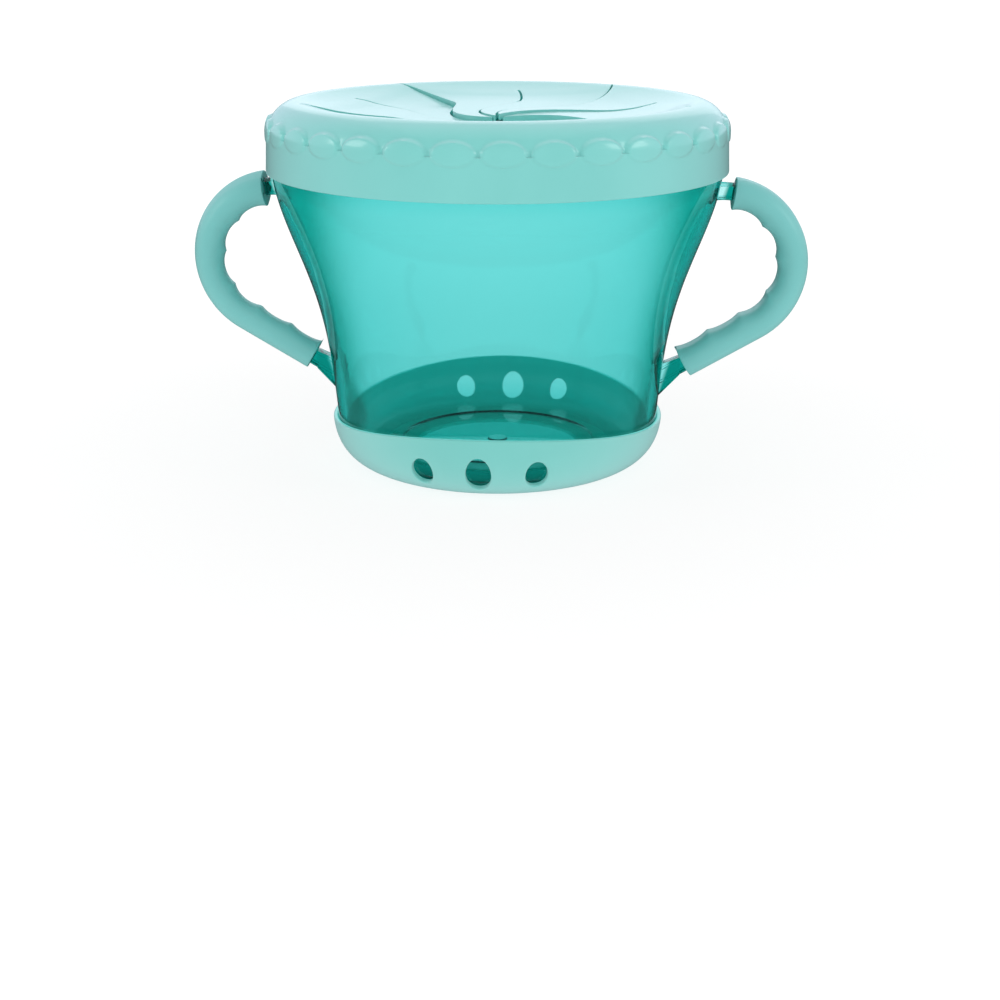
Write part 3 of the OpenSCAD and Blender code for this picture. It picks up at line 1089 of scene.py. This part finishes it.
    def build(self) -> bpy.types.Object:
        """Models the boot as a flat sheet with windows that is then wrapped round the cup's foot."""
        reach = self.length_at(self.lip_z)
        deselect_all()
        bpy.ops.mesh.primitive_grid_add(x_subdivisions=self.columns, y_subdivisions=self.rows, size=2,
                                        location=(0, 0, 0))
        boot = bpy.context.object
        boot.name = boot.data.name = "boot_moulding"
        move_vertices(boot, lambda p: Vector((p.x * math.pi, (p.y + 1) / 2 * reach, 0)))
        for angle, width, length in self.windows():
            self.cut_window(boot, angle, width, length)
        keep = self.lip_share * reach

        def wrap(point: Vector) -> Vector:
            """Wraps a point of the sheet round the foot, with the rows near the lip drawn to its dip."""
            angle, s = point.x, point.y
            lip = self.length_at(self.lip_at(angle + math.radians(self.turn)))
            if s > keep:
                s = keep + (s - keep) * (lip - keep) / (reach - keep)
            r, z = self.at(s)
            a = angle + math.radians(self.turn)
            return Vector((r * math.cos(a), r * math.sin(a), z))

        move_vertices(boot, wrap)
        close_up(boot)
        apply_modifier(boot, "SOLIDIFY", thickness=self.wall, offset=-1, use_even_offset=True)
        bevel_sharp(boot, self.edge_round, 3)
        move_vertices(boot, self.hug)
        shade(boot)
        return boot


@dataclass
class LidShape:
    """Sizes and surface of the lid that its ring and its flaps share."""

    cup: Cup
    skirt_gap: float = 0.0001
    skirt_t: float = 0.0015
    skirt_draft: float = 0.0004
    lid_clear: float = 0.0006
    crease_drop: float = 0.00155
    crease_in: float = 0.0004
    shoulder_r: float = 0.007
    wall: float = 0.0016
    slope: float = 14.6
    flat_r: float = 0.026
    flap_t: float = 0.0014
    flaps: int = 10
    slit_margin: float = 0.0077
    slit_step: float = 0.008
    slit_w: float = 0.0006
    slit_from: float = 55.3
    swirl: float = 53.0
    lean: float = 9.0
    turn_r: float = 0.027
    tip_r: float = 0.0016
    droops: tuple[float, ...] = (2, 2.5, 5, 4.5, 4.5, 6, 17, 14, 2.5, 1.5)

    def __post_init__(self) -> None:
        """Works out the surface's leading points."""
        self.in_r = self.cup.neck_r + self.lid_clear
        self.skirt_r = self.in_r + self.skirt_t
        self.skirt_z = self.cup.mouth_z + self.skirt_gap
        self.crease_z = self.cup.height - self.crease_drop
        self.skirt_top_r = self.skirt_r - self.skirt_draft
        self.mid_r = self.skirt_top_r - self.crease_in - self.shoulder_r
        self.mid_z = self.crease_z - self.crease_in
        a = math.radians(self.slope)
        self.join_r = self.mid_r - self.shoulder_r * math.sin(a)
        self.rise = math.tan(a) * (self.join_r - self.flat_r) / 2
        self.dish_z = self.mid_z + self.shoulder_r * math.cos(a) - self.rise
        self.long_r = self.skirt_r - self.slit_margin
        self.short_r = self.long_r - self.slit_step
        self.tips = [self.tip(k) for k in range(self.flaps)]

    def top(self, r: float) -> float:
        """Height of the lid's top at a radius: the shoulder's arc, then the dish."""
        if r > self.join_r:
            return self.mid_z + math.sqrt(max(0.0, self.shoulder_r ** 2 - (r - self.mid_r) ** 2))
        return self.dish_z + self.rise * max(0.0, (r - self.flat_r) / (self.join_r - self.flat_r)) ** 2

    def end_r(self, k: int) -> float:
        """Radius where slit k ends: long and short slits alternate."""
        return self.long_r if k % 2 == 0 else self.short_r

    def slit(self, k: int, r: float) -> float:
        """Direction of slit k at a radius, in radians: it leans out near the rim and swirls inside."""
        if r < self.turn_r:
            bend = self.swirl * (1 + math.cos(math.pi * r / self.turn_r)) / 2 - self.lean
        else:
            bend = self.lean * (((r - self.turn_r) / (self.long_r - self.turn_r)) ** 1.5 - 1)
        return math.radians(self.slit_from + 360 * k / self.flaps + bend)

    def tip(self, k: int) -> Vector:
        """Outer end of slit k on the lid's top."""
        r = self.end_r(k)
        a = self.slit(k, r)
        return Vector((r * math.cos(a), r * math.sin(a), self.top(r)))

    def hole_r(self, angle: float) -> float:
        """Radius of the lid's opening in a direction: straight from slit end to slit end."""
        for a, b in zip(self.tips, self.tips[1:] + self.tips[:1]):
            start, end = math.atan2(a.y, a.x), math.atan2(b.y, b.x)
            width = (end - start) % (2 * math.pi)
            off = (angle - start) % (2 * math.pi)
            if off <= width + 1e-6:
                cross = a.x * b.y - a.y * b.x
                ray = Vector((math.cos(angle), math.sin(angle)))
                across = (b.x - a.x) * ray.y - (b.y - a.y) * ray.x
                return abs(cross / across)
        return self.long_r


@dataclass
class LidRing:
    """The lid without its flaps: skirt, pillows, shoulder and sealing lip."""

    shape: LidShape
    pillows: int = 32
    pillow_out: float = 0.00042
    pillow_z: float = 0.07975
    pillow_half: float = 0.0027
    pillow_fill: float = 1.06
    pillow_step: float = 0.55
    pillow_from: float = 0.003
    seal_reach: float = 0.0045
    skin: float = 0.0001
    open_from: float = 0.002
    seal_h: float = 0.0036
    seal_t: float = 0.001
    seal_clear: float = 0.0003
    groove_drop: float = 0.0026
    groove_out: float = 0.00045
    groove_h: float = 0.0004
    edge_round: float = 0.0003
    steps: int = 864

    def section(self) -> list[Pair]:
        """Half section of the ring as a loop, from the skirt's lower edge over the top and back inside."""
        s = self.shape
        lead = math.degrees(math.asin(s.crease_in / s.shoulder_r))
        fine_z = self.pillow_z - self.pillow_half - 0.0003
        fine, edge = (self.skirt_at(fine_z), fine_z), self.edge_round
        skirt = [*arc_points((s.skirt_r - edge, s.skirt_z + edge), edge, -90, 0, 5),
                 *line_points((s.skirt_r, s.skirt_z + edge * 1.3), fine, 6),
                 *line_points(fine, (s.skirt_top_r, s.crease_z), 9)]
        crease = [(s.skirt_top_r, s.crease_z), (s.skirt_top_r - s.crease_in * 0.35, s.crease_z + 0.0001),
                  (s.skirt_top_r - s.crease_in * 0.75, s.crease_z + 0.00012)]
        shoulder = [*arc_points((s.mid_r, s.mid_z), s.shoulder_r, lead + 1.5, 38, 15),
                    *arc_points((s.mid_r, s.mid_z), s.shoulder_r, 42, 90 + s.slope, 15)]
        hole = s.short_r
        dish = [(r, s.top(r)) for r in (s.join_r + (hole - s.join_r) * i / 9 for i in range(1, 10))]
        under = [(r, s.top(r) - s.wall) for r in (hole + (s.join_r - hole) * i / 6 for i in range(0, 7))]
        seal_out = s.cup.neck_r - s.cup.neck_wall - self.seal_clear
        seal_in = seal_out - self.seal_t
        inner_arc = [(r, s.mid_z + math.sqrt((s.shoulder_r - s.wall) ** 2 - (r - s.mid_r) ** 2))
                     for r in (s.join_r + (seal_in - s.join_r) * i / 8 for i in range(1, 9))]
        top = s.cup.height
        seal = [(seal_in, top - self.seal_h + 0.0003), (seal_in + 0.0003, top - self.seal_h),
                (seal_out - 0.0003, top - self.seal_h), (seal_out, top - self.seal_h + 0.0003),
                (seal_out, top), (s.in_r, top)]
        groove_z = s.cup.bead_z - self.groove_drop
        groove_r = s.cup.neck_r + self.groove_out
        inside = [(s.in_r, groove_z + 3 * self.groove_h), (groove_r, groove_z + self.groove_h),
                  (groove_r, groove_z - self.groove_h), (s.in_r, groove_z - 3 * self.groove_h),
                  (s.in_r, s.skirt_z + self.edge_round), (s.in_r + self.edge_round, s.skirt_z)]
        return [*skirt, *crease, *shoulder, *dish, *under, *inner_arc, *seal, *inside]

    def skirt_at(self, z: float) -> float:
        """Outer radius of the drafted skirt at a height."""
        s = self.shape
        return s.skirt_r - s.skirt_draft * (z - s.skirt_z) / (s.crease_z - s.skirt_z)

    def press_pillow(self, point: Vector) -> Vector:
        """Lifts a point of the outside into the pillow that it lies in."""
        s, r = self.shape, math.hypot(point.x, point.y)
        if r < max(s.mid_r + self.pillow_from, s.in_r - self.seal_reach):
            return point
        if abs(point.z - self.pillow_z) > self.pillow_half or (r < s.in_r + self.skin and point.z < s.crease_z):
            return point
        pitch = 2 * math.pi / self.pillows
        angle = math.atan2(point.y, point.x)
        off = (angle / pitch) % 1 - 0.5
        x = off * 2 * self.pillow_fill
        y = (point.z - self.pillow_z) / self.pillow_half
        level = 1 - x * x - y * y
        if level <= 0:
            return point
        share = min(1.0, level * 4)
        even = self.skirt_at(point.z)
        if point.z > s.crease_z:
            even = s.skirt_top_r - (point.z - s.crease_z) ** 2 / (2 * s.shoulder_r)
        swell = self.pillow_step * smoothstep(level, 0, 0.2) + (1 - self.pillow_step) * level ** 0.7
        target = r + (max(r, even) - r) * share + self.pillow_out * swell
        return Vector((point.x * target / r, point.y * target / r, point.z))

    def open_hole(self, point: Vector) -> Vector:
        """Draws the turned inner edge out to the straight roots of the flaps."""
        s, r = self.shape, math.hypot(point.x, point.y)
        far = s.mid_r + self.open_from
        if r >= far or point.z < s.cup.height:
            return point
        hole = s.hole_r(math.atan2(point.y, point.x))
        new_r = far - (far - r) * (far - hole) / (far - s.short_r)
        drop = s.top(r) - point.z
        return Vector((point.x * new_r / r, point.y * new_r / r, s.top(new_r) - drop))

    def build(self) -> bpy.types.Object:
        """Models the ring."""
        ring = lathe("lid_ring", self.section(), self.steps, self.shape.slit_from, closed=True)
        move_vertices(ring, self.press_pillow)
        move_vertices(ring, self.open_hole)
        shade(ring)
        return ring


@dataclass
class SpiralFlap:
    """One flap of the lid, bent at its root as it hangs in the photo."""

    shape: LidShape
    number: int
    droop: float
    bend_len: float = 0.006
    edge_round: float = 0.0003
    root_share: float = 0.94
    along: int = 84
    across: int = 26

    def root(self) -> tuple[Vector, Vector]:
        """The two ends of the flap's root, on the lid's top."""
        k = self.number - 1
        return self.shape.tip(k), self.shape.tip(k + 1)

    def inward(self) -> Vector:
        """Direction from the root towards the middle of the lid, square to the root."""
        a, b = self.root()
        return Z_AXIS.cross(b - a).normalized()

    def side_point(self, k: int, side: int, share: float) -> Vector:
        """A point on one side of a slit.

        Args:
            k: the slit.
            side: 1 for its far side, -1 for its near side.
            share: 0 at the tip, 1 at the outer end.

        Returns:
            The point at height 0.
        """
        s = self.shape
        r = s.tip_r + (s.end_r(k) - s.tip_r) * share
        a = s.slit(k, r) + side * math.asin(s.slit_w / 2 / r)
        return Vector((r * math.cos(a), r * math.sin(a), 0))

    def build(self) -> bpy.types.Object:
        """Models the flap between its two slits."""
        s, k = self.shape, self.number - 1
        deselect_all()
        bpy.ops.mesh.primitive_grid_add(x_subdivisions=self.across, y_subdivisions=self.along, size=2,
                                        location=(0, 0, 0))
        flap = bpy.context.object
        flap.name = flap.data.name = f"spiral_flap_{self.number}"
        start, end = self.root()
        root_a = (start + (end - start).normalized() * s.slit_w / 2).xy.to_3d()
        root_b = (end + (start - end).normalized() * s.slit_w / 2).xy.to_3d()

        def place(point: Vector) -> Vector:
            """Spreads the grid between the slits and lays it on the dish."""
            across, share = (point.x + 1) / 2, (point.y + 1) / 2
            ease = smoothstep(share, self.root_share, 1.0)
            a = self.side_point(k, 1, share).lerp(root_a, ease)
            b = self.side_point(k + 1, -1, share).lerp(root_b, ease)
            spot = a.lerp(b, across)
            return Vector((spot.x, spot.y, s.top(spot.xy.length)))

        move_vertices(flap, place)
        close_up(flap)
        self.face_up(flap)
        apply_modifier(flap, "SOLIDIFY", thickness=s.flap_t, offset=-1, use_even_offset=True)
        inward, root = self.inward(), Vector((start.x, start.y, (start.z + end.z) / 2))
        bevel_sharp(flap, self.edge_round, 3, lambda p: (p - root).dot(inward) > self.edge_round)
        axis = Vector((end.x - start.x, end.y - start.y, 0)).normalized()
        sink = math.radians(self.droop)

        def hang(point: Vector) -> Vector:
            """Bends the flap down at its root and lets the rest follow."""
            weight = smoothstep((point - root).dot(inward), 0, self.bend_len)
            turn = Matrix.Rotation(-sink * weight, 3, axis)
            return root + turn @ (point - root)

        move_vertices(flap, hang)
        shade(flap)
        return flap

    def face_up(self, flap: bpy.types.Object) -> None:
        """Turns the open sheet's faces upwards."""
        if flap.data.polygons[0].normal.z < 0:
            edit(flap, "FACE")
            bpy.ops.mesh.select_all(action="SELECT")
            bpy.ops.mesh.flip_normals()
            object_mode()

    def hang_on_lid(self, flap: bpy.types.Object) -> None:
        """Bakes the finished flap's place into its mesh."""
        start, end = self.root()
        middle = (start + end) / 2
        tuple(middle + self.inward() * self.bend_len)
        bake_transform(flap)


@dataclass(frozen=True)
class Lamp:
    """A soft square lamp that faces the cup's middle."""

    name: str
    place: Triple
    size: float
    power: float
    mirrored: bool = True
    aim: Triple = (0.0, 0.0, 0.045)

    def build(self) -> None:
        """Hangs the lamp, unseen through the clear cup."""
        view = Vector(self.aim) - Vector(self.place)
        deselect_all()
        bpy.ops.object.light_add(type="AREA", location=self.place,
                                 rotation=view.to_track_quat("-Z", "Y").to_euler())
        lamp = bpy.context.object
        lamp.name = self.name
        lamp.data.shape = "SQUARE"
        lamp.data.size = self.size
        lamp.data.energy = self.power
        lamp.visible_glossy = self.mirrored
        lamp.visible_transmission = False


@dataclass
class Studio:
    """Camera, floor, lamps and surroundings."""

    camera_reach: float = 0.392
    camera_z: float = 0.12415
    camera_azimuth: float = 4.3
    camera_pitch: float = 19.2
    lens: float = 59.76
    shift: float = 0.0025
    clip: Pair = (0.01, 50.0)
    floor_size: float = 6.0
    floor_colour: Triple = (0.86, 0.86, 0.86)
    floor_glow: float = 1.1
    floor_mirror: float = 0.05
    near_white: float = 0.75
    shadow_reach: Pair = (0.07, 0.3)
    bounce: float = 0.7
    ambient: float = 0.55
    mirror_reach: Pair = (-0.6, 0.6)
    mirror_levels: Pair = (0.05, 1.03)
    mirror_colour: Triple = (0.7, 0.87, 1.0)
    lamps: tuple[Lamp, ...] = (
        Lamp("top_lamp", (0.0, 0.05, 0.75), 0.7, 0.5),
        Lamp("left_lamp", (-0.7, -0.25, 0.36), 0.26, 0.75),
        Lamp("right_lamp", (0.7, -0.25, 0.36), 0.26, 0.75),
        Lamp("back_lamp", (0.0, 0.8, 0.45), 0.7, 0.8),
        Lamp("front_lamp", (0.1, -0.9, 0.35), 0.9, 2.35, mirrored=False))

    def build(self) -> None:
        """Sets up the whole studio."""
        bpy.context.scene.view_settings.view_transform = "Standard"
        self.camera()
        self.floor()
        self.surroundings()
        for lamp in self.lamps:
            lamp.build()

    def camera(self) -> None:
        """Places the camera as the photo was taken."""
        a = math.radians(self.camera_azimuth)
        deselect_all()
        bpy.ops.object.camera_add(
            location=(self.camera_reach * math.sin(a), -self.camera_reach * math.cos(a), self.camera_z),
            rotation=(math.radians(90 - self.camera_pitch), 0, a))
        camera = bpy.context.object
        camera.name = "photo_camera"
        camera.data.lens = self.lens
        camera.data.sensor_width = 36
        camera.data.shift_x = self.shift
        camera.data.clip_start, camera.data.clip_end = self.clip
        bpy.context.scene.camera = camera

    def floor(self) -> None:
        """Adds the pale floor, which looks white to the camera and keeps the shadow."""
        deselect_all()
        bpy.ops.mesh.primitive_plane_add(size=self.floor_size, location=(0, 0, 0))
        floor = bpy.context.object
        floor.name = "studio_floor"
        material, graph, shader, output = new_material("white_floor")
        graph.feed(shader, {"Base Color": opaque(self.floor_colour), "Roughness": 0.9,
                            "Specular IOR Level": 0.1})
        reach = graph.out("VectorMath", "Value", {0: graph.out("TexCoord", "Object")}, operation="LENGTH")
        fade = graph.span(reach, self.shadow_reach, (self.near_white, 1), smooth=True)
        mirrored = self.mirrored(graph)
        share = graph.level(self.seen(graph), self.bounce, graph.math("MAXIMUM", fade, mirrored))
        glow = graph.out("Emission", "Emission", {
            "Strength": graph.level(mirrored, self.floor_glow, self.floor_mirror)})
        graph.feed(output, {"Surface": graph.out("MixShader", "Shader", {
            "Fac": share, 1: shader.outputs["BSDF"], 2: glow})})
        floor.data.materials.append(material)

    def seen(self, graph: Graph) -> bpy.types.NodeSocket:
        """Builds a mask that is 1 for the rays that see the white background.

        Args:
            graph: the tree that needs it.

        Returns:
            The mask's socket.
        """
        path = graph.add("LightPath").outputs
        mask = graph.math("MAXIMUM", path["Is Camera Ray"], path["Is Glossy Ray"])
        return graph.math("MAXIMUM", mask, path["Is Transmission Ray"])

    def mirrored(self, graph: Graph) -> bpy.types.NodeSocket:
        """Builds a mask that is 1 for the rays that a surface mirrors, and 0 for those that it only bends.

        Args:
            graph: the tree that needs it.

        Returns:
            The mask's socket.
        """
        path = graph.add("LightPath").outputs
        return graph.math("SUBTRACT", path["Is Glossy Ray"], path["Is Transmission Ray"], clamp=True)

    def surroundings(self) -> None:
        """Makes a room that is white to look at, lights softly and mirrors darker from the front."""
        world = bpy.data.worlds.new("white_room")
        bpy.context.scene.world = world
        world.use_nodes = True
        graph = Graph(world.node_tree)
        direction = graph.add("SeparateXYZ", {"Vector": graph.out("TexCoord", "Generated")}).outputs["Y"]
        sheen = graph.span(direction, self.mirror_reach, self.mirror_levels, smooth=True)
        plain = graph.level(self.seen(graph), self.ambient, 1.0)
        mirrored = self.mirrored(graph)
        graph.feed(world.node_tree.nodes["Background"], {
            "Color": graph.colour(mirrored, WHITE, opaque(self.mirror_colour)),
            "Strength": graph.level(mirrored, plain, sheen)})


def main() -> None:
    """Builds the studio and every moulding, and hangs each but the flaps on its body."""
    logging.basicConfig(level=logging.INFO, format="%(message)s")
    Studio().build()
    finishes = Finishes()

    cup, line = Cup(), HandleLine()
    cup_piece = cup.build(line)
    dress(cup_piece, finishes.clear, ["cup"])
    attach(cup_piece, "root")

    for side, turn in ((Side.LEFT, 18.0), (Side.RIGHT, 0.0)):
        sleeve = GripSleeve(side, turn).build(line)
        dress(sleeve, finishes.grip, [f"{side.name.lower()}_grip"])
        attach(sleeve, "root")

    boot = BaseBoot(cup).build()
    dress(boot, finishes.boot, ["base_boot"])
    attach(boot, "root")

    shape = LidShape(cup)
    ring = LidRing(shape).build()
    dress(ring, finishes.lid, ["lid"])
    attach(ring, "lid")

    for number, droop in enumerate(shape.droops, start=1):
        flap = SpiralFlap(shape, number, droop)
        piece = flap.build()
        dress(piece, finishes.lid, [f"flap_{number}"])
        flap.hang_on_lid(piece)


if __name__ == "__main__":
    main()
